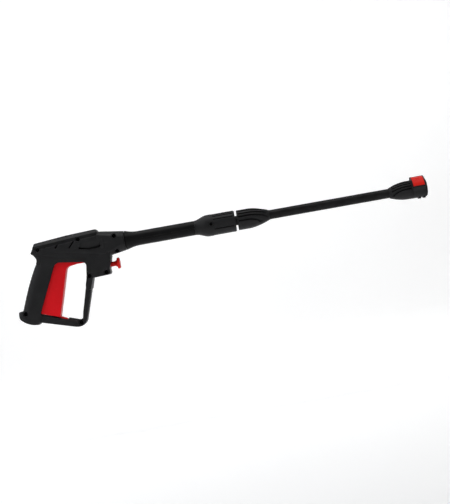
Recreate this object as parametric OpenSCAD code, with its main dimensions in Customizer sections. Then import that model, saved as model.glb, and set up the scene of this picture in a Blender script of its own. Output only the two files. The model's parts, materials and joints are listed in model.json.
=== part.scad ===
// Trigger spray gun of a pressure washer, with its barrel, bayonet collar, lance and nozzle head.
// +X runs along the lance to the nozzle, +Z is up. The origin is the middle of the hose inlet's mouth.

/* [Gun shells] */
// Wall thickness of the moulded shells
wall = 2.6; // [2:0.2:3]
// Half width of the receiver and the front block
receiver_half_w = 17.5; // [16.5:0.5:18.5]
// Half width of the grip, which is also the radius of its back
grip_r = 16; // [15:0.5:17]
// Half width of the guard's two bars
guard_half_w = 11.8; // [11.5:0.1:12.5]
// Lean of the grip and the hose inlet away from upright
grip_lean = 24.9; // [24.5:0.1:25.5]

/* [Trigger] */
// Full travel of the trigger in degrees
trigger_travel = 7; // [4:0.5:7]
// Half width of the trigger
trigger_half_w = 10.5; // [10:0.1:10.6]
// Inner half width of the trigger's channel
channel_half_w = 8; // [7.4:0.2:8.4]
// Radius of the pivot pin
pivot_pin_r = 2.5; // [2:0.25:3]

/* [Safety pin] */
// Radius of the pin's stem
safety_r = 4.25; // [3.5:0.25:4.5]
// Radius of the pin's head
safety_head_r = 9.75; // [8:0.25:10]

/* [Hose inlet] */
// Bore radius that the hose plug enters
inlet_bore_r = 7; // [6:0.5:7.5]
// Depth of that bore
inlet_bore_depth = 12; // [10:1:12]

/* [Valve] */
// Radius of the valve ball
ball_r = 3; // [2.75:0.25:3.25]
// Radius of the push pin
push_pin_r = 2; // [1.75:0.25:2]
// Wire radius of the valve spring
valve_wire_r = 0.4; // [0.3:0.05:0.45]

/* [Barrel and collar] */
// Outer radius of the barrel sleeve's straight stretch
barrel_r = 12.65; // [12:0.05:13]
// Outer radius of the bayonet collar
collar_r = 18.65; // [18:0.05:19]

/* [Lance] */
// Outer radius of the lance sleeve
lance_r = 8.2; // [8.1:0.05:8.25]
// Turn of the lance about its axis at rest, with 0 for the thumb pad on top
lance_roll = 42; // [0:1:45]
// Height of the lance axis over the origin
axis_z = 113.8; // [113.8:0.1:114.2]

/* [Nozzle head] */
// Outer radius of the nozzle head
head_r = 16.4; // [16:0.1:16.6]
// Outer radius of the thumb pad
pad_r = 20.7; // [20:0.1:21]
// Half width of the thumb pad
pad_half_w = 12.5; // [11:0.5:12.5]

/* [Hidden] */
$fn = 64;

lower_half_w = receiver_half_w - 0.8;
crown_half_w = 3;
nose_half_w = receiver_half_w - 0.4;
run_gap = 0.08;          // radial clearance of every running fit
pivot = [100, 101];      // trigger pivot, x and z
valve_x = 80;            // axis of the valve and its push pin
inlet_z = 122.5;         // height of the inlet passage in the valve body
safety_z = 77;           // axis of the safety pin
grip_foot = [-13, 23];   // lower end of the grip's straight back
seam_x = 184;            // where the shells end and the barrel sleeve shows
collar_x = [331.3, 380]; // ends of the bayonet collar
rear_grip_x = [383.6, 441];
front_grip_x = [653, 692];
head_x = [692.2, 715.9];
ring_x = [716.2, 719];

// Side outline of the gun: x, z and corner radius, going back along the top and forward along the bottom.
outline = [[184, 140, 0], [142, 137, 1.5], [136.5, 142.4, 2.5], [86, 140.5, 60],
    [27, 135.7, 2], [19.5, 119.3, 1.5], [29.8, 106.5, 12], [21.5, 94, 30], [-14.3, 23, 1], [-20.2, 22.8, 2.5],
    [-20.3, 9.6, 11], [-7.5, 0.6, 6], [1, -3.2, 6], [12.5, -5.2, 2], [14.8, -1.5, 1], [91.4, -24.7, 17],
    [119, 59, 1], [152, 60.3, 6], [150.6, 69.5, 3], [156.6, 92, 4], [184, 92, 0]];

// Side outline of the hand opening, in the same direction.
opening = [[112.2, 88.6, 7], [58.3, 96.9, 11], [17.5, 11.6, 4], [60, 0.2, 12],
    [87.3, -9.4, 4], [108, 62, 60]];

// Side outline of the trigger, in the same direction.
trigger_outline = [[122.8, 92, 3], [108, 103, 3], [92, 101.5, 3], [87, 96, 0.5],
    [73, 96, 0.5], [70, 98.5, 1], [58.5, 101.5, 4], [55, 97, 2], [17.3, 13.6, 3], [50.8, 2, 2],
    [76.4, 85.8, 9], [94, 88.2, 12], [109, 87.9, 3], [112.5, 91.2, 2], [116.8, 89.5, 1],
    [116.8, 82, 1.5], [122.8, 82, 1.5]];
toe_outline = [[46, 6, 0.5], [47.5, -1.5, 0.5], [61.6, -5.9, 0.8], [62.4, -2.4, 0.8], [50.5, 3.4, 0.5]];
toe_half_w = 6.2;
slot_half_w = 7;         // half width of the slot that the toe runs in

// Body screws: x, z, and how far the near face stands from the parting plane.
screws = [[32.5, 123.7, 17.5], [104.3, 129.7, 14], [167.4, 124.6, 15.4], [168, 97.8, 11.5],
    [113.7, 63.8, 16.7], [143.9, 65, 16.7], [85.3, -13.5, 11.8], [-7.2, 17.2, 15.6]];
screw_head_r = 2.9;
screw_head_h = 2.2;
screw_shank_r = 1.5;
screw_recess_r = 3.9;
collar_recess_r = 3.2;
screw_recess = 8;        // depth of the recess over each head
screw_far_end = 9;       // how far each screw reaches past the parting plane
post_r = 5.2;

// --- outline functions -------------------------------------------------------------------------------

function unit(v) = v / norm(v);
function side_of(a, b) = [-unit(b - a).y, unit(b - a).x];

// Points of one corner: the corner itself, or an arc of the given radius that touches both of its sides.
function corner(a, b, c, r) =
    let (u = unit(a - b), v = unit(c - b), half = acos(max(-1, min(1, u * v))) / 2)
    r < 0.01 || half > 89 ? [b] :
    let (reach = min(r / tan(half), 0.49 * min(norm(a - b), norm(c - b))), true_r = reach * tan(half),
        centre = b + unit(u + v) * true_r / sin(half), start = b + u * reach - centre,
        end = b + v * reach - centre, turn = 180 - 2 * half, way = cross(start, end) > 0 ? 1 : -1,
        steps = max(1, ceil(turn / 15)))
    [for (i = [0:steps]) let (t = way * turn * i / steps)
        centre + [start.x * cos(t) - start.y * sin(t), start.x * sin(t) + start.y * cos(t)]];

function xz(p) = [p[0], p[1]];
function round_corners(points) = let (n = len(points))
    [for (i = [0:n - 1]) for (q = corner(xz(points[(i + n - 1) % n]), xz(points[i]),
        xz(points[(i + 1) % n]), points[i][2])) q];

// An anticlockwise outline of x, z and corner radius, moved inwards by d along every side and then rounded.
function inset(points, d) = let (n = len(points))
    round_corners([for (i = [0:n - 1])
        let (a = xz(points[(i + n - 1) % n]), b = xz(points[i]), c = xz(points[(i + 1) % n]),
            m = side_of(a, b), k = side_of(b, c), moved = b + d * (m + k) / (1 + m * k),
            bulges = cross(b - a, c - b) > 0)
        [moved.x, moved.y, max(0, points[i][2] + (bulges ? -d : d))]]);

// --- placing -----------------------------------------------------------------------------------------

// A side view drawn in x and z, as thick as y0 to y1.
module side_slab(y0, y1) {
    translate([0, y1, 0]) rotate([90, 0, 0]) linear_extrude(y1 - y0) children();
}

module on_axis(x) {
    translate([x, 0, axis_z]) rotate([0, 90, 0]) children();
}

// Turned about the lance axis from x = 0, with profiles drawn as radius and x.
module turned(points) {
    on_axis(0) rotate_extrude($fn = 96) polygon(points);
}

module tube_x(x0, x1, outer, inner) {
    on_axis(x0) difference() {
        cylinder(h = x1 - x0, r = outer);
        translate([0, 0, -1]) cylinder(h = x1 - x0 + 2, r = inner);
    }
}

module rod_y(x, z, y0, y1, r) {
    translate([x, y1, z]) rotate([90, 0, 0]) cylinder(h = y1 - y0, r = r);
}

module rod_z(z0, z1, r) {
    translate([valve_x, 0, z0]) cylinder(h = z1 - z0, r = r);
}

// Along the grip from the inlet's mouth: z of the children is the distance up the inlet's axis.
module up_grip() {
    rotate([0, grip_lean, 0]) children();
}

// Lance pieces, drawn with the thumb pad on top and then turned about the lance axis.
module rolled() {
    translate([0, 0, axis_z]) rotate([lance_roll, 0, 0]) children();
}

module o_ring(mean_r, wire_r) {
    rotate_extrude($fn = 48) translate([mean_r, 0]) circle(wire_r, $fn = 20);
}

// --- outer form of the gun, with every face moved inwards by t ------------------------------------------

module grip_form(t) {
    translate([grip_foot.x, 0, grip_foot.y]) rotate([0, grip_lean, 0]) translate([0, 0, -60])
        linear_extrude(157) {
            translate([grip_r, 0]) circle(grip_r - t);
            translate([grip_r, t - grip_r]) square([14, 2 * (grip_r - t)]);
            translate([30, -11.5]) square([4.5 - t, 23]);
            for (side = [-1, 1]) translate([30, side * 11.5]) circle(4.5 - t);
        }
}

module hand_stop_form(t) {
    translate([grip_foot.x, 0, grip_foot.y]) rotate([0, grip_lean, 0]) translate([0, 0, -60])
        linear_extrude(60) {
            translate([grip_r - 7, 0]) circle(grip_r - t);
            translate([grip_r - 7, t - grip_r]) square([15, 2 * (grip_r - t)]);
        }
}

// Round back of the web between thumb and finger, over the top of the grip.
module web_form(t) {
    translate([0, 0, 100]) linear_extrude(18) {
        translate([18 + grip_r, 0]) circle(grip_r - t);
        translate([18 + grip_r, t - grip_r]) square([18, 2 * (grip_r - t)]);
    }
    translate([18 + grip_r, t - grip_r, 92]) cube([50, 2 * (grip_r - t), 26]);
}

// Ridge section over the receiver: depth under the ridge line and half width. A channel runs along
// each side under the ridge's chamfer, and the panel under it leans in at its top.
module ridge_section(t) {
    half = [[-75, receiver_half_w - t], [-22 - t / 2, receiver_half_w - t], [-12.5 - t / 2, 15.4 - t],
        [-11 - t / 2, 12.6 - t], [-7, 12.4 - t], [-6, 14 - t], [-t / 2, 8.5 - t / 2], [6, 8.5 - t / 2]];
    translate([26, 0, 135.5]) rotate([0, -3.6, 0]) translate([-10, 0, 0])
        rotate([90, 0, 90]) linear_extrude(134)
            polygon(concat([for (p = half) [p[1], p[0]]],
                [for (i = [len(half) - 1:-1:0]) [-half[i][1], half[i][0]]]));
}

// Upper side panels: the ridge section above a crease that falls towards the front, with round rear corners.
module receiver_form(t) {
    intersection() {
        ridge_section(t);
        side_slab(-20, 20) polygon([[10, 118], [29, 115.5], [47.3, 111.3], [52, 112.4], [58.1, 116.1],
            [106.9, 106.1], [143, 98 + t / 4], [150, 97.2], [150, 129], [139, 132], [139, 150], [10, 150]]);
        translate([0, 0, 90]) linear_extrude(60) {
            translate([25, -20]) square([123.5, 40]);
            translate([16, 7 - receiver_half_w]) square([20, 2 * (receiver_half_w - 7)]);
            for (side = [-1, 1]) translate([25, side * (receiver_half_w - 7.3)]) circle(8 - t);
        }
    }
}

// Lower body under the upper panels' crease, in front of the slanted line where the grip begins.
module lower_form(t) {
    side_slab(t - lower_half_w, lower_half_w - t) polygon([[44, 112.3], [78.7, 102.4], [82.3, 96.5],
        [82.3, 76], [110, 76], [110, 118], [52, 118]]);
}

module nose_form(t) {
    intersection() {
        turned([[0, 138], [24.4 - t, 138], [21.4 - t, 156], [17 - t, seam_x], [0, seam_x]]);
        translate([130, t - nose_half_w, 60]) cube([60, 2 * (nose_half_w - t), 100]);
    }
}

module block_form(t) {
    translate([0, 0, 40]) linear_extrude(66) {
        translate([104, t - lower_half_w]) square([47.5, 2 * (lower_half_w - t)]);
        translate([104, 5 - lower_half_w]) square([52.5 - t, 2 * (lower_half_w - 5)]);
        for (side = [-1, 1]) translate([151.5, side * (lower_half_w - 5)]) circle(5 - t);
    }
}

// The bottom bar's top falls away to both sides from a narrow crown, and the front bar's outer edge is
// bevelled.
module guard_form(t) {
    difference() {
        translate([12, t - guard_half_w, -30]) cube([112, 2 * (guard_half_w - t), 100]);
        for (side = [0, 1]) mirror([0, side, 0]) {
            translate([17.5, guard_half_w, 11.6 - t]) rotate([0, 15, 0]) rotate([0, 0, -12.3])
                rotate([-31.5, 0, 0]) cube([41.5, 30, 30]);
            translate([56.8, crown_half_w, 1.2 - t]) rotate([0, 19.4, 0]) rotate([-31.5, 0, 0])
                cube([33, 30, 30]);
            translate([96.6, guard_half_w - 3.5 - t / 2, -9]) rotate([0, -71.8, 0]) rotate([36.6, 0, 0])
                translate([0, 0, -20]) cube([70, 20, 20]);
        }
    }
}

module gun_form(t) {
    intersection() {
        side_slab(-20, 20) difference() {
            polygon(inset(outline, t));
            polygon(inset(opening, -t));
        }
        union() {
            grip_form(t);
            hand_stop_form(t);
            web_form(t);
            receiver_form(t);
            lower_form(t);
            nose_form(t);
            block_form(t);
            guard_form(t);
        }
    }
}

// --- what the shells leave room for ----------------------------------------------------------------------

// The trigger's side view at five stages of its pull, and the slot that its toe runs in.
module trigger_room() {
    side_slab(-trigger_half_w - 0.6, trigger_half_w + 0.6)
        for (share = [0:0.25:1])
            translate(pivot) rotate(-share * trigger_travel) translate(-pivot)
                polygon(inset(trigger_outline, -0.7));
    side_slab(-slot_half_w, slot_half_w) polygon([[64, 2], [51, 8], [35.3, 16.5], [34, 13.2], [34.6, 5],
        [46.8, -2.6], [61.6, -7.4], [64, -6.6]]);
}

module gear_room() {
    translate([64, -10.3, 104.5]) cube([33, 20.6, 26]);
    rod_z(100, 137.2, 9);
    on_axis(90) cylinder(h = 90, r = 5.7);
    translate([122.5, 0, safety_z]) rotate([0, 90, 0]) cylinder(h = 40, r = safety_r + run_gap);
    translate([131, 0, safety_z]) rotate([0, 90, 0]) cylinder(h = 17, r = 6.7);
    translate([128.5, -4.5, safety_z - 7.8]) cube([20.2, 9, 2]);
    on_axis(171.7) cylinder(h = 20, r = 14.15);
    up_grip() translate([0, 0, -8]) cylinder(h = 26, r = 9.6);
    up_grip() translate([0, 0, 9]) cylinder(h = 3, r = 11.3);
    inlet_tube_route(4.4, elbow_r + 0.2);
}

// Ribs across the hollow that carry the valve body, the tubes and the safety pin.
module ribs() {
    intersection() {
        union() {
            for (x = [70, 90, 128, 158]) translate([x, -20, 92]) cube([2, 40, 60]);
            for (x = [127, 149.4]) translate([x, -20, 66]) cube([2.2, 40, 22]);
            for (s = [22, 52, 84]) up_grip() translate([-18, -20, s]) cube([24, 40, 2]);
            up_grip() for (s = [7.8, 12.2]) translate([-14, -20, s]) cube([28, 40, 1]);
        }
        gun_form(wall - 0.4);
    }
}

module posts() {
    intersection() {
        union() {
            for (side = [-1, 1]) translate([38, side * 14.5 - 3.5, 107]) cube([108, 7, 23.5]);
            for (s = screws) rod_y(s[0], s[1], -20, 20, post_r);
            difference() {
                rod_y(pivot.x, pivot.y, -20, 20, 5);
                translate([80, -trigger_half_w - 0.3, 80]) cube([40, 2 * trigger_half_w + 0.6, 40]);
            }
        }
        gun_form(0.4);
    }
}

module shell_blank() {
    difference() {
        union() {
            difference() {
                gun_form(0);
                gun_form(wall);
            }
            ribs();
            posts();
        }
        trigger_room();
        gear_room();
        rod_y(pivot.x, pivot.y, -14.5, 14.5, pivot_pin_r + 0.02);
        side_details();
    }
}

// Forms in the outer faces: a scooped window with a deep pocket along its lower edge, slanted slits behind
// it, and a ring around the safety pin.
module side_details() {
    for (side = [-1, 1]) {
        translate([0, side * (receiver_half_w + 2.6), 0]) {
            translate([0, 0, 110]) rotate([-side * 14, 0, 0]) translate([0, 0, -110]) side_slab(-6.6, 6.6)
                polygon([[103, 113.2], [112.5, 126], [146.5, 125], [141, 110.8], [124, 109.8]]);
            side_slab(-8.2, 8.2) polygon([[102, 113.4], [119.4, 108.6], [130, 108.4], [141.1, 109.7],
                [142.2, 114.5], [135.5, 112.4], [120, 112.1], [103, 114.8]]);
            for (slit = [[47, 126.3, 8, 62], [66.4, 124.4, 10, 40], [92.2, 122.6, 15, 42]])
                translate([slit[0], 0, slit[1]]) rotate([0, slit[3], 0])
                    cube([2.2, 15.2, slit[2]], center = true);
        }
    }
    translate([151.2, 0, safety_z]) rotate([0, 90, 0]) cylinder(h = 10, r = 6.2);
}

module screw_holes(right) {
    for (s = screws)
        if (right) {
            rod_y(s[0], s[1], -30, screw_recess - s[2], screw_recess_r);
            rod_y(s[0], s[1], -30, 1, screw_shank_r + 0.3);
        } else {
            rod_y(s[0], s[1], -1, screw_far_end + 0.6, screw_shank_r + 0.02);
        }
}

// --- gun -------------------------------------------------------------------------------------------------

module shell_right() {
    color("#29292b") difference() {
        shell_blank();
        translate([-60, 0, -60]) cube([300, 60, 260]);
        screw_holes(true);
    }
}

module shell_left() {
    color("#29292b") difference() {
        shell_blank();
        translate([-60, -60, -60]) cube([300, 60, 260]);
        screw_holes(false);
    }
}

module cross_screw(x, z, seat_y, end_y) {
    difference() {
        union() {
            rod_y(x, z, seat_y - screw_head_h, seat_y, screw_head_r);
            rod_y(x, z, seat_y - 0.1, end_y, screw_shank_r);
        }
        for (turn = [0, 90]) translate([x, seat_y - screw_head_h, z]) rotate([0, turn, 0])
            cube([3.6, 2.4, 0.7], center = true);
    }
}

module body_screws() {
    color("#8d8f92") for (s = screws) cross_screw(s[0], s[1], screw_recess - s[2], screw_far_end);
}

module trigger() {
    color("#b8141c") difference() {
        union() {
            side_slab(-trigger_half_w, trigger_half_w) polygon(round_corners(trigger_outline));
            rod_y(pivot.x, pivot.y, -trigger_half_w, trigger_half_w, 5.5);
            side_slab(-toe_half_w, toe_half_w) polygon(round_corners(toe_outline));
        }
        side_slab(-channel_half_w, channel_half_w)
            polygon([[0, 10], [43, -12], [46.8, 3], [70.5, 81], [70.5, 110], [40, 110]]);
        rod_y(pivot.x, pivot.y, -20, 20, pivot_pin_r + run_gap);
    }
}

module trigger_pivot_pin() {
    color("#a9abad") rod_y(pivot.x, pivot.y, -14.3, 14.3, pivot_pin_r);
}

module safety_pin() {
    color("#c81916") translate([0, 0, safety_z]) rotate([0, 90, 0]) difference() {
        union() {
            translate([0, 0, 123.5]) cylinder(h = 42, r = safety_r);
            translate([0, 0, 142]) cylinder(h = 3, r = safety_r + 0.95);
            translate([0, 0, 159.6]) cylinder(h = 4.9, r1 = safety_r, r2 = safety_r + 2.6);
            translate([0, 0, 164]) cylinder(h = 3.6, r = safety_head_r);
            translate([0, 0, 167.6]) cylinder(h = 1.4, r1 = safety_head_r, r2 = safety_head_r - 1.2);
        }
        translate([0, 0, 151.8]) difference() {
            cylinder(h = 1.6, r = 6);
            translate([0, 0, -1]) cylinder(h = 4, r = safety_r - 0.5);
        }
    }
}

module safety_detent() {
    color("#b5b8bb") {
        translate([129.25, -4, safety_z - 7.3]) cube([18.7, 8, 0.6]);
        translate([129.25, -4, safety_z - 7.3]) cube([0.8, 8, 1.7]);
    }
}

module inlet_connector() {
    color("#7d7f83") up_grip() difference() {
        union() {
            cylinder(h = 16, r = 9.5);
            translate([0, 0, 9.1]) cylinder(h = 2.8, r = 11.2);
        }
        translate([0, 0, -1]) cylinder(h = inlet_bore_depth + 1, r = inlet_bore_r);
        translate([0, 0, 8.4]) cylinder(h = 2, r = inlet_bore_r + 1.3);
        cylinder(h = 20, r = 2.9);
        translate([0, 0, 13.4]) cylinder(h = 4, r = 4.3);
    }
}

module inlet_o_ring() {
    color("#161616") up_grip() translate([0, 0, 9.4]) o_ring(inlet_bore_r + 0.65, 0.6);
}

tube_corner = inlet_z / cos(grip_lean);  // distance up the grip where the two runs meet
elbow_r = 5.3;

// The inlet's route: up the grip, round an elbow, and forward into the valve body.
module inlet_tube_route(r, corner_r) {
    up_grip() translate([0, 0, 13.6]) cylinder(h = tube_corner - 13.6, r = r);
    translate([tube_corner * sin(grip_lean), 0, inlet_z]) sphere(corner_r);
    translate([tube_corner * sin(grip_lean), 0, inlet_z]) rotate([0, 90, 0])
        cylinder(h = 70 - tube_corner * sin(grip_lean), r = r);
}

module inlet_tube() {
    color("#c9ccd0") difference() {
        inlet_tube_route(4.25, elbow_r);
        up_grip() cylinder(h = tube_corner, r = 2.75);
        translate([tube_corner * sin(grip_lean), 0, inlet_z]) rotate([0, 90, 0]) cylinder(h = 30, r = 2.75);
        translate([tube_corner * sin(grip_lean), 0, inlet_z]) sphere(3.2);
    }
}

// --- valve -----------------------------------------------------------------------------------------------

seat_z = [116.4, 118.6];
seat_bore_r = 1.9;
ball_z = seat_z[1] + sqrt(ball_r * ball_r - seat_bore_r * seat_bore_r) + 0.02;
cup_top = 124.9;
spring_top = 132;
chamber_r = 5;

module valve_body() {
    color("#b08d45") difference() {
        union() {
            on_axis(66.3) cylinder(h = 29.7, r = 8);
            translate([66.3, -8.5, 110]) cube([24, 17, 17.5]);
            rod_z(103.5, 130, 7.5);
        }
        rod_z(seat_z[0], 131, chamber_r);
        rod_z(126.8, 131, 5.9);
        rod_z(107.6, seat_z[0] + 1, 3.4);
        rod_z(103, 104.4, 4.55);
        rod_z(103, 107.8, 3.9);
        on_axis(valve_x) cylinder(h = 30, r = 2.4);
        on_axis(91) cylinder(h = 10, r = 5.55);
        translate([60, 0, inlet_z]) rotate([0, 90, 0]) cylinder(h = 18, r = 2.6);
        translate([60, 0, inlet_z]) rotate([0, 90, 0]) cylinder(h = 10.1, r = 4.3);
    }
}

module valve_seat() {
    color("#d7dadd") difference() {
        rod_z(seat_z[0], seat_z[1], chamber_r - 0.03);
        rod_z(seat_z[0] - 1, seat_z[1] + 1, seat_bore_r);
    }
}

module valve_ball() {
    color("#dfe2e5") translate([valve_x, 0, ball_z]) sphere(ball_r);
}

module ball_cup() {
    color("#e6e4da") difference() {
        rod_z(ball_z + 1.4, cup_top, 3.4);
        translate([valve_x, 0, ball_z]) sphere(ball_r + 0.03);
    }
}

// One closed coil of the spring as a ring: the spring is a stack of them joined by two slim side bars.
module valve_spring() {
    rings = 5;
    pitch = (spring_top - cup_top - 2 * valve_wire_r) / (rings - 1);
    color("#9da0a4") translate([valve_x, 0, 0]) {
        for (i = [0:rings - 1]) translate([0, 0, cup_top + valve_wire_r + 0.02 + i * (pitch - 0.01)])
            o_ring(2.6, valve_wire_r);
        for (side = [-1, 1]) translate([0, side * 2.6, cup_top + valve_wire_r])
            cylinder(h = spring_top - cup_top - 2 * valve_wire_r, r = valve_wire_r * 0.6, $fn = 20);
    }
}

module valve_plug() {
    color("#8a8d90") difference() {
        union() {
            rod_z(127.2, 130.2, 5.85);
            rod_z(130.2, 135.6, 7.4);
        }
        rod_z(126, spring_top + 0.02, 3.7);
        translate([valve_x, 0, 135]) cylinder(h = 3, r = 3.2, $fn = 6);
    }
}

module push_pin() {
    color("#cfd2d5") {
        rod_z(98.3, 111.5, push_pin_r);
        translate([valve_x, 0, 98.3]) sphere(push_pin_r);
        rod_z(111.5, ball_z - ball_r - 0.02, 1.4);
    }
}

module pin_gland() {
    color("#b08d45") difference() {
        union() {
            rod_z(99.6, 103.3, 5);
            rod_z(103.3, 105.9, 3.85);
        }
        rod_z(99, 107, push_pin_r + run_gap);
    }
}

module pin_seal() {
    color("#161616") translate([valve_x, 0, 106.8]) o_ring(2.97, 0.8);
}

// --- barrel and collar -----------------------------------------------------------------------------------

module outlet_tube() {
    color("#c9ccd0") tube_x(91.3, 313.6, 5.5, 3.5);
}

// Radius of the sleeve along its two curved stretches, from the shells' seam and into the collar.
function ease(t) = t * t * (3 - 2 * t);
root_len = 24;
flare_x = [308, collar_x[0]];
seam_gap = 1.3;          // open joint between the gun's nose and the barrel sleeve
stub_r = 11.5;           // the sleeve's end inside the collar
rim = 0.35;              // how far the collar's rear rim stands over its grip

module barrel_sleeve() {
    root_x = seam_x + seam_gap;
    root = [for (i = [0:6]) let (t = i / 7)
        [17 - (17 - barrel_r) * (1 - pow(1 - t, 2)), root_x + root_len * t]];
    color("#242426") {
        turned(concat([[10.2, 172], [14.1, 172], [14.1, root_x]], root, [[barrel_r, root_x + root_len],
            [barrel_r, flare_x[0]], [stub_r, flare_x[0]], [stub_r, 320], [10.2, 320]]));
        for (side = [0, 1]) mirror([0, side, 0])
            translate([210, barrel_r - 1, axis_z - 1.5]) cube([flare_x[0] - 212, 1.45, 1.6]);
    }
}

collar_groove_turns = [-26, 28, 48, 61, 80, 100, 119, 132, 152, 206];

// The collar flares out from the barrel to a smooth rear rim, which the collar screw goes through.
module bayonet_collar() {
    back_x = flare_x[0] + 0.02;
    flare = [for (i = [0:8]) let (t = i / 8)
        [barrel_r + (collar_r + rim - barrel_r) * ease(t), back_x + (flare_x[1] - flare_x[0]) * t]];
    color("#2b2b2d") difference() {
        turned(concat([[stub_r + 0.05, back_x]], flare, [[collar_r + rim, 338.6], [collar_r, 339.4],
            [collar_r, collar_x[1] - 1.5], [collar_r - 1.2, collar_x[1]], [10.5, collar_x[1]], [10.5, 377.2],
            [15.2, 377.2], [15.2, 323.6], [10.2, 323.6], [10.2, 320.4], [stub_r + 0.05, 320.4]]));
        for (turn = collar_groove_turns) translate([0, 0, axis_z]) rotate([90 - turn, 0, 0])
            translate([341.5, -0.9, collar_r - 1.5]) cube([35.5, 1.8, 3]);
        rod_y(337.3, axis_z + 1.5, -24, -16.6, collar_recess_r);
        rod_y(337.3, axis_z + 1.5, -24, -12, screw_shank_r + 0.3);
    }
}

module collar_screw() {
    color("#8d8f92") cross_screw(337.3, axis_z + 1.5, -16.6, -10);
}

lug_x = [352, 360];
plug_r = lance_r + 0.1;

module bayonet_socket() {
    color("#b08d45") difference() {
        union() {
            tube_x(300.5, 325, 10.1, 5.55);
            on_axis(324.3) cylinder(h = 51.7, r = 15.1);
        }
        on_axis(312) cylinder(h = 8, r = 3.4);
        on_axis(300) cylinder(h = 13.8, r = 5.55);
        on_axis(318) cylinder(h = 24, r = 6.4);
        on_axis(340) cylinder(h = 40, r = plug_r + run_gap);
        on_axis(lug_x[0]) cylinder(h = lug_x[1] - lug_x[0], r = 11.4);
        rolled() rotate([-45, 0, 0]) translate([lug_x[0] + 1, -3.4, -11.4]) cube([40, 6.8, 22.8]);
        rod_y(337.3, axis_z + 1.5, -20, -9, screw_shank_r + 0.02);
    }
}

// --- lance -----------------------------------------------------------------------------------------------

module lance_plug() {
    color("#29292b") difference() {
        union() {
            on_axis(322) cylinder(h = 20, r = 6.25);
            on_axis(341) cylinder(h = 51, r = plug_r);
            intersection() {
                on_axis(353) cylinder(h = 6, r = 11.1);
                rolled() translate([350, -2.9, -12]) cube([12, 5.8, 24]);
            }
        }
        on_axis(321) cylinder(h = 80, r = 2.5);
        on_axis(327) difference() {
            cylinder(h = 2.6, r = 7);
            translate([0, 0, -1]) cylinder(h = 5, r = 5.15);
        }
        on_axis(380.5) cylinder(h = 20, r = 5.03);
    }
}

module plug_o_ring() {
    color("#161616") on_axis(328.3) o_ring(5.72, 0.55);
}

module lance_pipe() {
    color("#c9ccd0") tube_x(380.7, 699.5, 5, 3.6);
}

module lance_sleeve() {
    color("#232325") tube_x(392.2, 690, lance_r, 5.2);
}

// Lengthwise slots in the upper side of a turned grip. They are cut upright, in step with the thumb pad,
// down to a turned floor, which the children draw as a profile of radius and x.
module grip_slots(x0, x1, offsets, width) {
    difference() {
        rolled() for (y = offsets) for (side = [-1, 1])
            translate([x0, side * y - width / 2, 0]) cube([x1 - x0, width, 30]);
        children();
    }
}

function rear_grip_r(x) = 17.6 - 9.2 * pow(max(0, (x - 403) / 38), 1.7);
function front_grip_r(x) = let (u = min(1, (x - front_grip_x[0]) / 33)) 9 + 7.2 * (1 - pow(1 - u, 2));

module lance_rear_grip() {
    floor_depth = 4.2;
    color("#29292b") difference() {
        turned(concat([[plug_r + 0.03, rear_grip_x[0]], [17.1, rear_grip_x[0]], [17.6, rear_grip_x[0] + 0.6],
            [17.6, 403]], [for (i = [1:10]) let (x = 403 + i * 3.8) [rear_grip_r(x), x]],
            [[plug_r + 0.03, rear_grip_x[1]]]));
        grip_slots(rear_grip_x[0] + 2, 438, [3.2, 8.3, 13.5], 2.4)
            turned(concat([[0, 380], [17.6 - floor_depth, 380], [17.6 - floor_depth, 403]],
                [for (i = [1:9]) let (x = 403 + i * 3.8) [max(9.2, rear_grip_r(x) - floor_depth), x]],
                [[9.2, 445], [0, 445]]));
    }
}

module lance_front_grip() {
    floor_depth = 3.2;
    color("#29292b") difference() {
        turned(concat([[lance_r + 0.03, front_grip_x[0]]],
            [for (i = [0:10]) let (x = front_grip_x[0] + i * 3.3) [front_grip_r(x), x]],
            [[16.2, front_grip_x[1]], [lance_r + 0.03, front_grip_x[1]]]));
        grip_slots(657, front_grip_x[1] - 1.2, [2.3, 6.8, 10.6], 2)
            turned(concat([[0, 650]], [for (i = [0:10]) let (x = front_grip_x[0] + i * 3.3)
                [max(9, front_grip_r(x) - floor_depth), x]], [[16.2 - floor_depth, 695], [0, 695]]));
    }
}

// --- nozzle head -----------------------------------------------------------------------------------------

pad_x = [694, 714];
pad_mid = (pad_x[0] + pad_x[1]) / 2;
pad_press = 1.5;
hub_r = 9;

module pad_block(grow, r0, r1) {
    rolled() intersection() {
        translate([pad_x[0] - grow, -pad_half_w - grow, 8])
            cube([pad_x[1] - pad_x[0] + 2 * grow, 2 * (pad_half_w + grow), 20]);
        translate([pad_x[0] - 2, 0, 0]) rotate([0, 90, 0]) difference() {
            cylinder(h = 30, r = r1, $fn = 96);
            translate([0, 0, -1]) cylinder(h = 40, r = r0, $fn = 96);
        }
    }
}

module nozzle_head() {
    color("#29292b") difference() {
        union() {
            on_axis(head_x[0]) cylinder(h = head_x[1] - head_x[0], r = head_r);
            rolled() intersection() {
                translate([head_x[0], 0, 0]) rotate([0, 90, 0]) cylinder(h = head_x[1] - head_x[0], r = 21.2);
                translate([head_x[0], -14.8, 4]) cube([40, 29.6, 30]);
            }
            for (x = [702, 710.5]) rolled() intersection() {
                translate([x, 0, 0]) rotate([0, 90, 0]) cylinder(h = 4.5, r = 18.4);
                translate([x - 1, -20, -25]) cube([8, 40, 16]);
            }
        }
        on_axis(head_x[0] - 1) cylinder(h = 8.4, r = 5.06);
        on_axis(head_x[0] + 5) cylinder(h = 12, r = 5.1);
        on_axis(707.8) cylinder(h = 20, r = hub_r + run_gap);
        pad_block(0.35, head_r, 30);
        rolled() translate([pad_mid - 5.4, 0, 7.4]) cylinder(h = 12, r = 3.1);
    }
}

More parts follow.
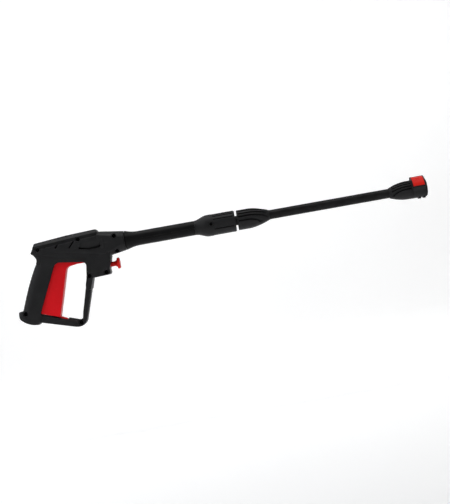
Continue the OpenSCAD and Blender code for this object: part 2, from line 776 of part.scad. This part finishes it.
module nozzle_tip() {
    color("#c7a24a") difference() {
        union() {
            on_axis(699.8) cylinder(h = 8.6, r = 5.02);
            on_axis(708.3) cylinder(h = 3, r1 = 4.6, r2 = 2.6);
        }
        on_axis(699) cylinder(h = 10, r = 3);
        on_axis(698) cylinder(h = 14, r = 0.6);
        on_axis(702.4) difference() {
            cylinder(h = 2, r = 6);
            translate([0, 0, -1]) cylinder(h = 4, r = 4.1);
        }
    }
}

module tip_o_ring() {
    color("#161616") on_axis(703.4) o_ring(4.56, 0.45);
}

module thumb_pad() {
    color("#d93c2c") {
        difference() {
            pad_block(0, 18.3, pad_r);
            for (turn = [-45, 0, 45, 90]) rolled() translate([pad_mid, 0, pad_r + 0.2]) rotate([0, 0, turn])
                cube([turn == 0 || turn == 90 ? 5 : 15, 1.2, 1.6], center = true);
        }
        rolled() translate([pad_mid - 5.4, 0, 12.6]) cylinder(h = 6.4, r = 3);
    }
}

module thumb_pad_spring() {
    color("#9da0a4") rolled() translate([pad_mid - 5.4, 0, 0]) {
        for (z = [7.85:1.08:12.2]) translate([0, 0, z]) o_ring(2.3, 0.4);
        for (side = [-1, 1]) translate([0, side * 2.3, 7.9]) cylinder(h = 4.2, r = 0.3, $fn = 20);
    }
}

module nozzle_ring() {
    color("#1f1f21") difference() {
        union() {
            on_axis(708.2) cylinder(h = ring_x[0] - 708.2 + 0.1, r = hub_r);
            turned([[0, ring_x[0]], [15.9, ring_x[0]], [16.1, ring_x[0] + 1], [15.2, ring_x[0] + 2.2],
                [13.6, ring_x[1]], [0, ring_x[1]]]);
        }
        on_axis(708) cylinder(h = 3.6, r = 5.4);
        on_axis(711.4) cylinder(h = 2.4, r = 4);
        turned([[0, 713.6], [3.4, 713.6], [6.6, 720], [0, 720]]);
        on_axis(713.4) cylinder(h = 0.9, r = 6.02);
        for (turn = [0:30:330]) translate([0, 0, axis_z]) rotate([turn, 0, 0])
            translate([ring_x[0] - 0.5, -0.6, 14.9]) cube([5, 1.2, 3]);
    }
}

module spray_plate() {
    color("#b9bcc0") difference() {
        on_axis(713.42) cylinder(h = 0.8, r = 6);
        translate([713, -2.4, axis_z - 0.5]) cube([2, 4.8, 1]);
    }
}

shell_right();
shell_left();
body_screws();
trigger();
trigger_pivot_pin();
safety_pin();
safety_detent();
inlet_connector();
inlet_o_ring();
inlet_tube();
valve_body();
valve_seat();
valve_ball();
ball_cup();
valve_spring();
valve_plug();
push_pin();
pin_gland();
pin_seal();
outlet_tube();
barrel_sleeve();
bayonet_collar();
collar_screw();
bayonet_socket();
lance_plug();
plug_o_ring();
lance_sleeve();
lance_pipe();
lance_rear_grip();
lance_front_grip();
nozzle_head();
nozzle_tip();
tip_o_ring();
thumb_pad();
thumb_pad_spring();
nozzle_ring();
spray_plate();
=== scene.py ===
import json
import math

import bmesh
import bpy
from mathutils import Matrix, Vector

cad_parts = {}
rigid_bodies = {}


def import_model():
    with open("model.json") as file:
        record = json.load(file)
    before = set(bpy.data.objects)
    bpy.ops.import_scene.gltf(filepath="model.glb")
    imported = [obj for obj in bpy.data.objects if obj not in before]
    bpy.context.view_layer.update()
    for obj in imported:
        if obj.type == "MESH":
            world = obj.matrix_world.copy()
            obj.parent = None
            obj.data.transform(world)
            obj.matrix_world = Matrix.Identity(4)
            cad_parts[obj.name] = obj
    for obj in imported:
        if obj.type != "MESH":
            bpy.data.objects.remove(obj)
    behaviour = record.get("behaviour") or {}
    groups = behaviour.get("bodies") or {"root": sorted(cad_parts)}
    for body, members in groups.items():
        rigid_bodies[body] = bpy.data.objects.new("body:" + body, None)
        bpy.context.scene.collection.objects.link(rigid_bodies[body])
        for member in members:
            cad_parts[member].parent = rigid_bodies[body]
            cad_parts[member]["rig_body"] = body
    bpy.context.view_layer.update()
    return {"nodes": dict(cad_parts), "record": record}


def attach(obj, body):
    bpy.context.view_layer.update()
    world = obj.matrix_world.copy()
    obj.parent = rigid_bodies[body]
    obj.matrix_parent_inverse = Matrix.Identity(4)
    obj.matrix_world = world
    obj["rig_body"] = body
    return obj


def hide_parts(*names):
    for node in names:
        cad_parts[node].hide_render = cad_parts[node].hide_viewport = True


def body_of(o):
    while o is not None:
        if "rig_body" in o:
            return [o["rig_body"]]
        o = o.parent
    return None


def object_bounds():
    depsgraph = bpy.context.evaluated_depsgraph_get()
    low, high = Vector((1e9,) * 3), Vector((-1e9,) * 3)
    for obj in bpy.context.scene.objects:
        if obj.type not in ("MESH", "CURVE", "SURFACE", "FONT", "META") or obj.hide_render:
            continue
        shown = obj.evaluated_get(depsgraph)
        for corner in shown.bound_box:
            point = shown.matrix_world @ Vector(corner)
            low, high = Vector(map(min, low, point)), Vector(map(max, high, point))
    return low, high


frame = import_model()
nodes = frame["nodes"]

MM = 0.001


# --- materials -------------------------------------------------------------------------------------------


class Shade:
    """A node material: a Principled shader with helpers that add noise, scratches and bump to it."""

    def __init__(self, name):
        self.mat = bpy.data.materials.new(name)
        self.mat.use_nodes = True
        self.tree = self.mat.node_tree
        self.tree.nodes.clear()
        self.out = self.node("ShaderNodeOutputMaterial")
        self.bsdf = self.node("ShaderNodeBsdfPrincipled")
        self.link(self.bsdf.outputs["BSDF"], self.out.inputs["Surface"])
        self.coord = self.node("ShaderNodeTexCoord").outputs["Object"]

    def node(self, kind, **values):
        n = self.tree.nodes.new(kind)
        for key, value in values.items():
            setattr(n, key, value)
        return n

    def link(self, a, b):
        self.tree.links.new(a, b)

    def put(self, **values):
        for key, value in values.items():
            self.bsdf.inputs[key.replace("_", " ")].default_value = value

    def stretched(self, scale):
        m = self.node("ShaderNodeMapping")
        m.inputs["Scale"].default_value = scale
        self.link(self.coord, m.inputs["Vector"])
        return m.outputs["Vector"]

    def noise(self, scale, detail=4.0, rough=0.55, vector=None, distort=0.0):
        n = self.node("ShaderNodeTexNoise")
        n.inputs["Scale"].default_value = scale
        n.inputs["Detail"].default_value = detail
        n.inputs["Roughness"].default_value = rough
        n.inputs["Distortion"].default_value = distort
        self.link(vector or self.coord, n.inputs["Vector"])
        return n.outputs["Fac"]

    def cells(self, scale, feature="F1"):
        n = self.node("ShaderNodeTexVoronoi", feature=feature)
        n.inputs["Scale"].default_value = scale
        self.link(self.coord, n.inputs["Vector"])
        return n.outputs["Distance"]

    def span(self, value, low, high, a=0.3, b=0.7):
        n = self.node("ShaderNodeMapRange")
        n.inputs["From Min"].default_value = a
        n.inputs["From Max"].default_value = b
        n.inputs["To Min"].default_value = low
        n.inputs["To Max"].default_value = high
        self.link(value, n.inputs["Value"])
        return n.outputs["Result"]

    def maths(self, how, a, b):
        n = self.node("ShaderNodeMath", operation=how)
        for socket, value in zip(n.inputs, (a, b)):
            if isinstance(value, (int, float)):
                socket.default_value = value
            else:
                self.link(value, socket)
        return n.outputs["Value"]

    def mix(self, factor, a, b):
        n = self.node("ShaderNodeMix", data_type="RGBA")
        self.link(factor, n.inputs["Factor"])
        for socket, value in ((n.inputs["A"], a), (n.inputs["B"], b)):
            if isinstance(value, tuple):
                socket.default_value = (*value, 1.0)
            else:
                self.link(value, socket)
        return n.outputs["Result"]

    def edges(self, low, high):
        """1 on worn outer edges, 0 elsewhere, from how sharply the surface bends."""
        n = self.node("ShaderNodeNewGeometry")
        return self.span(n.outputs["Pointiness"], 0.0, 1.0, low, high)

    def painted_shade_mask(self, distance):
        """Painted shade mask: 0 deep in grooves and gaps, 1 on open faces, from how much of the piece itself
        stands around.
        """
        n = self.node("ShaderNodeAmbientOcclusion", samples=8, only_local=True)
        n.inputs["Distance"].default_value = distance
        return self.span(n.outputs["AO"], 0.0, 1.0, 0.30, 0.92)

    def bump(self, heights, radius=0.0):
        """heights: list of (height socket, distance in metres, strength), fine ones last."""
        last = None
        if radius:
            n = self.node("ShaderNodeBevel", samples=6)
            n.inputs["Radius"].default_value = radius
            last = n.outputs["Normal"]
        for value, distance, strength in heights:
            n = self.node("ShaderNodeBump")
            n.inputs["Distance"].default_value = distance
            n.inputs["Strength"].default_value = strength
            self.link(value, n.inputs["Height"])
            if last:
                self.link(last, n.inputs["Normal"])
            last = n.outputs["Normal"]
        self.link(last, self.bsdf.inputs["Normal"])

    def colour(self, socket):
        self.link(socket, self.bsdf.inputs["Base Color"])

    def rough(self, socket):
        self.link(socket, self.bsdf.inputs["Roughness"])


def moulded(name, base, lighter, rough, grain=1500.0, grain_depth=0.00006, gloss=0.14, radius=0.0):
    """Injection moulded plastic: fine grain, soft colour drift, rubbed edges, a few scuffs, and painted
    shade that darkens grooves, gaps and recesses.
    """
    s = Shade(name)
    drift = s.span(s.noise(24.0, 3.0), 0.0, 1.0, 0.35, 0.68)
    body = s.mix(drift, base, lighter)
    scuff = s.noise(260.0, 2.0, 0.5, s.stretched((0.25, 1.0, 2.2)), 0.6)
    scuffed = s.span(scuff, 0.0, 1.0, 0.66, 0.74)
    worn = s.maths("MULTIPLY", s.edges(0.53, 0.60), s.span(s.noise(90.0, 4.0), 0.25, 1.0, 0.35, 0.65))
    rubbed = tuple(min(1.0, c * 1.35 + 0.012) for c in lighter)
    body = s.mix(s.maths("MULTIPLY", scuffed, 0.35), body, rubbed)
    body = s.mix(s.maths("MULTIPLY", worn, 0.55), body, rubbed)
    # painted shade: deep in grooves, gaps and recesses the colour is mixed down to 12 % of the base
    openness_for_painted_shade = s.painted_shade_mask(3.5 * MM)
    s.colour(s.mix(openness_for_painted_shade, tuple(c * 0.12 for c in base), body))
    uneven = s.span(s.noise(70.0, 5.0), rough - 0.05, rough + 0.06)
    polished = s.maths("ADD", uneven, s.maths("MULTIPLY", worn, -0.07))
    s.rough(s.maths("ADD", polished, s.maths("MULTIPLY", scuffed, 0.08)))
    s.put(IOR=1.49)
    # painted shade: the reflection is dimmed in grooves, gaps and recesses too
    s.link(s.maths("MULTIPLY", openness_for_painted_shade, gloss), s.bsdf.inputs["Specular IOR Level"])
    pits = s.span(s.cells(grain, "SMOOTH_F1"), 0.0, 1.0, 0.05, 0.75)
    s.bump([(s.noise(38.0, 2.0), 0.0005, 0.10), (s.noise(grain * 0.45, 3.0), 0.00008, 0.25),
        (pits, grain_depth, 0.35)], radius)
    return s.mat


def metal(name, base, darker, rough, along=(1.0, 1.0, 1.0), radius=0.0003):
    """Machined or drawn metal: fine tool lines, stains in the low places and small pits."""
    s = Shade(name)
    stain = s.span(s.noise(130.0, 5.0, 0.6), 0.0, 1.0, 0.42, 0.72)
    s.colour(s.mix(stain, base, darker))
    lines = s.noise(1400.0, 2.0, 0.5, s.stretched(along))
    s.rough(s.maths("ADD", s.span(lines, rough - 0.06, rough + 0.1), s.maths("MULTIPLY", stain, 0.12)))
    s.put(Metallic=1.0)
    s.bump([(lines, 0.00003, 0.35), (s.noise(420.0, 4.0), 0.00004, 0.25)], radius)
    return s.mat


def rubber(name, base):
    s = Shade(name)
    bloom = s.span(s.noise(300.0, 4.0), 0.0, 1.0, 0.4, 0.75)
    s.colour(s.mix(bloom, base, tuple(c + 0.02 for c in base)))
    s.rough(s.span(bloom, 0.62, 0.8, 0.0, 1.0))
    s.put(Specular_IOR_Level=0.35)
    s.bump([(s.noise(1800.0, 3.0), 0.00004, 0.3)])
    return s.mat


MATERIALS = {
    "black_plastic": moulded("moulded_charcoal_plastic", (0.0105, 0.0105, 0.0112),
        (0.0150, 0.0150, 0.0158), 0.47),
    "black_sleeve": moulded("smooth_charcoal_sleeve", (0.0034, 0.0034, 0.0036),
        (0.0048, 0.0048, 0.0051), 0.42, 2100.0, 0.00004, 0.10),
    "trigger_red": moulded("moulded_trigger_red", (0.61, 0.0036, 0.0080), (0.69, 0.0050, 0.0105),
        0.38, 1700.0, 0.00004),
    "safety_red": moulded("moulded_pin_red", (0.54, 0.0085, 0.0070), (0.62, 0.0115, 0.0090),
        0.34, 1800.0, 0.00003, radius=0.0004),
    "pad_red": moulded("moulded_pad_red", (0.66, 0.014, 0.009), (0.74, 0.020, 0.012),
        0.40, 1500.0, 0.00005),
    "screw_steel": metal("black_oxide_steel", (0.009, 0.009, 0.010), (0.004, 0.004, 0.004), 0.5),
    "bright_steel": metal("drawn_steel", (0.56, 0.57, 0.58), (0.30, 0.29, 0.28), 0.26, (0.05, 1.0, 1.0)),
    "brass": metal("turned_brass", (0.62, 0.42, 0.15), (0.36, 0.22, 0.08), 0.30, (0.4, 1.0, 1.0)),
    "grey_plastic": moulded("inlet_grey_plastic", (0.14, 0.14, 0.146), (0.18, 0.18, 0.185),
        0.44, radius=0.0004),
    "acetal": moulded("white_acetal", (0.68, 0.67, 0.62), (0.76, 0.75, 0.70), 0.36, radius=0.0003),
    "rubber": rubber("seal_rubber", (0.008, 0.008, 0.008)),
}


def paint(obj, slot):
    for ms in obj.material_slots:
        ms.material = MATERIALS[slot]
    if not obj.material_slots:
        obj.data.materials.append(MATERIALS[slot])


# --- pieces ----------------------------------------------------------------------------------------------


def applied(piece):
    """The piece's new mesh, with its modifiers worked into it."""
    view = bpy.context.evaluated_depsgraph_get()
    made = bpy.data.meshes.new_from_object(piece.evaluated_get(view))
    piece.modifiers.clear()
    piece.data = made
    return made


def rounded(node, voxel, passes, soft=None, soft_passes=0, shift=None, most=150000):
    """A piece that stands for a CAD node: the same form with its sharp edges rounded as a mould leaves them.
    soft(point) says from 0 to 1 how much of the extra smoothing a point takes, and shift(point) moves it."""
    source = nodes[node]
    body = body_of(source)
    mesh = source.data.copy()
    bm = bmesh.new()
    bm.from_mesh(mesh)
    bmesh.ops.remove_doubles(bm, verts=bm.verts, dist=0.000002)
    bm.to_mesh(mesh)
    bm.free()
    slot = SLOT_OF[node]
    mesh.materials.clear()
    mesh.materials.append(MATERIALS[slot])
    piece = bpy.data.objects.new(node + "_moulded", mesh)
    bpy.context.scene.collection.objects.link(piece)
    remesh = piece.modifiers.new("remesh", "REMESH")
    remesh.mode = "VOXEL"
    remesh.voxel_size = voxel * 1.0
    remesh.use_smooth_shade = True
    smooth = piece.modifiers.new("smooth", "SMOOTH")
    smooth.factor = 0.5
    smooth.iterations = max(1, passes // (1))
    made = applied(piece)
    faces = sum(len(p.vertices) - 2 for p in made.polygons)
    if faces > most:
        thin = piece.modifiers.new("thin", "DECIMATE")
        thin.ratio = most / faces
        made = applied(piece)
    if soft:
        group = piece.vertex_groups.new(name="soft")
        for v in made.vertices:
            share = soft(v.co)
            if share > 0.0:
                group.add([v.index], share, "REPLACE")
        more = piece.modifiers.new("more", "SMOOTH")
        more.factor = 0.5
        more.iterations = max(1, soft_passes // (1))
        more.vertex_group = "soft"
        made = applied(piece)
        piece.vertex_groups.clear()
    if shift:
        for v in made.vertices:
            v.co += shift(v.co)
    made.name = node + "_moulded"
    for p in made.polygons:
        p.use_smooth = True
    made.materials.clear()
    made.materials.append(MATERIALS[slot])
    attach(piece, body if isinstance(body, str) else body[0])
    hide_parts(node)
    return piece


SLOT_OF = {p["node"]: p["material_slot"] for p in frame["record"]["subparts"]}
for name, obj in nodes.items():
    paint(obj, SLOT_OF[name])


def ramp(value, low, high):
    """0 below low, 1 above high, smooth between."""
    t = min(1.0, max(0.0, (value - low) / (high - low)))
    return t * t * (3.0 - 2.0 * t)


GRIP_LEAN = math.radians(24.9)
SWELL = 0.0016
CREASE_DEPTH = 0.0008


def shell_soft(p):
    """The grip and the guard are rounded by hand-sized radii; the receiver keeps crisper edges."""
    away = ramp(abs(p.y), 0.003, 0.008)
    return away * ramp(-p.z, -0.100, -0.060)


def shell_shift(p):
    """The back of the grip swells a little between the foot and the web, and a long crease that wanders
    up and forward parts the rounded back from the flatter front."""
    along = p.x * math.sin(GRIP_LEAN) + p.z * math.cos(GRIP_LEAN)
    across = p.x * math.cos(GRIP_LEAN) - p.z * math.sin(GRIP_LEAN)
    rise = math.sin(math.pi * min(1.0, max(0.0, (along - 0.018) / 0.092)))
    reach = rise * ramp(-across, -0.008, 0.014)
    swell = Vector((-math.cos(GRIP_LEAN), 0.0, math.sin(GRIP_LEAN))) * (SWELL * reach)
    crease = -0.005 + 0.012 * ramp(along, 0.025, 0.100)
    step = ramp(across, crease - 0.0004, crease + 0.0016) * ramp(-across, -0.0175, -0.0150)
    length = ramp(along, 0.018, 0.026) * ramp(-along, -0.104, -0.080)
    sunk = CREASE_DEPTH * step * length * ramp(abs(p.y), 0.009, 0.012)
    return swell - Vector((0.0, math.copysign(sunk, p.y), 0.0))


def trigger_soft(p):
    return ramp(abs(p.y), 0.0055, 0.009)


for node in ("shell_right", "shell_left"):
    rounded(node, 0.55 * MM, 2, shell_soft, 22, shell_shift, 190000)
rounded("trigger", 0.5 * MM, 4, trigger_soft, 12)
SMOOTHED = {
    "bayonet_collar": (0.45, 3),
    "lance_rear_grip": (0.45, 3),
    "lance_front_grip": (0.4, 3),
    "nozzle_head": (0.4, 3),
    "thumb_pad": (0.3, 3),
    "nozzle_ring": (0.3, 2),
    "safety_pin": (0.4, 3),
}
for node, (voxel, passes) in SMOOTHED.items():
    rounded(node, voxel * MM, passes)


# --- camera, light and floor -----------------------------------------------------------------------------

ROLL = math.radians(10.12)   # the lance climbs to the upper right
LOOK_AT = Vector((0.3526, 0.0, 0.06325))
DISTANCE = 1.9
SPAN = 0.882                 # height of the view at the object

right = Vector((math.cos(ROLL), 0.0, -math.sin(ROLL)))
up = Vector((math.sin(ROLL), 0.0, math.cos(ROLL)))
back = right.cross(up)
cam_data = bpy.data.cameras.new("camera")
cam_data.sensor_width = 36.0
cam_data.lens = 36.0 * DISTANCE / SPAN
cam = bpy.data.objects.new("camera", cam_data)
bpy.context.scene.collection.objects.link(cam)
turn = Matrix((right, up, back)).transposed().to_4x4()
cam.matrix_world = Matrix.Translation(LOOK_AT + back * DISTANCE) @ turn
bpy.context.scene.camera = cam

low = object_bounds()[0][2]


def softbox(name, at, target, size, power, tint=(1.0, 1.0, 1.0)):
    data = bpy.data.lights.new(name, "AREA")
    data.color = tint
    data.shape = "RECTANGLE"
    data.size, data.size_y = size
    data.energy = power
    lamp = bpy.data.objects.new(name, data)
    bpy.context.scene.collection.objects.link(lamp)
    lamp.location = at
    lamp.rotation_euler = (Vector(target) - Vector(at)).to_track_quat("-Z", "Y").to_euler()
    return lamp


softbox("top_softbox", (0.25, -0.15, 1.45), (0.35, 0.0, 0.08), (1.9, 0.6), 13.0)
softbox("key_softbox", (-0.95, -0.85, 1.25), (0.2, 0.0, 0.06), (0.8, 0.8), 8.8, (0.93, 0.96, 1.0))
softbox("side_softbox", (-1.5, -0.35, 0.35), (0.0, 0.0, 0.04), (0.5, 1.1), 4.0, (0.93, 0.96, 1.0))
softbox("fill_softbox", (1.35, -1.05, 0.95), (0.4, 0.0, 0.08), (0.8, 0.8), 0.3)
softbox("wall_light", (0.4, 0.3, 1.6), (0.4, 2.1, 0.3), (3.2, 0.6), 14.0)
bpy.context.scene.view_settings.view_transform = "Standard"

world = bpy.data.worlds.new("studio")
world.use_nodes = True
world.node_tree.nodes["Background"].inputs["Color"].default_value = (1.0, 1.0, 1.0, 1.0)
world.node_tree.nodes["Background"].inputs["Strength"].default_value = 0.02
bpy.context.scene.world = world


def curve_up(beyond, radius):
    """Height of a quarter circle that starts flat, at a distance beyond its start."""
    t = min(max(beyond, 0.0), radius)
    return radius - math.sqrt(radius * radius - t * t)


def sweep():
    """A pale floor that curves up to a wall behind the object, and further off to walls all round."""
    depth = low - 0.19
    left, right_end, front, rear = -4.0, 5.0, -4.0, 1.3   # edges of the flat floor
    near, far = 0.7, 2.0     # radii of the curves behind the object and around the other sides
    wall = 3.2
    arc = [math.sin(math.radians(90.0 * i / 12)) for i in range(13)]
    xs = [left - far * a for a in reversed(arc)] + [right_end + far * a for a in arc]
    ys = [front - far * a for a in reversed(arc)] + [rear + near * a for a in arc]
    rows = [(y, curve_up(front - y, far) + curve_up(y - rear, near)) for y in ys]
    rows = [(rows[0][0], wall)] + rows + [(rows[-1][0], wall)]
    columns = [(x, curve_up(left - x, far) + curve_up(x - right_end, far)) for x in xs]
    columns = [(columns[0][0], wall)] + columns + [(columns[-1][0], wall)]
    verts = [(x, y, depth + max(rise_x, rise_y)) for y, rise_y in rows for x, rise_x in columns]
    wide = len(columns)
    faces = [(j * wide + i, j * wide + i + 1, (j + 1) * wide + i + 1, (j + 1) * wide + i)
        for j in range(len(rows) - 1) for i in range(wide - 1)]
    mesh = bpy.data.meshes.new("floor")
    mesh.from_pydata(verts, [], faces)
    for p in mesh.polygons:
        p.use_smooth = True
    obj = bpy.data.objects.new("floor", mesh)
    bpy.context.scene.collection.objects.link(obj)
    s = Shade("pale_floor")
    s.colour(s.mix(s.span(s.noise(3.0), 0.0, 1.0), (0.93, 0.93, 0.93), (0.95, 0.95, 0.95)))
    s.put(Roughness=0.85, Emission_Color=(1.0, 1.0, 1.0, 1.0), Emission_Strength=0.25)
    mesh.materials.append(s.mat)
    return obj


sweep()
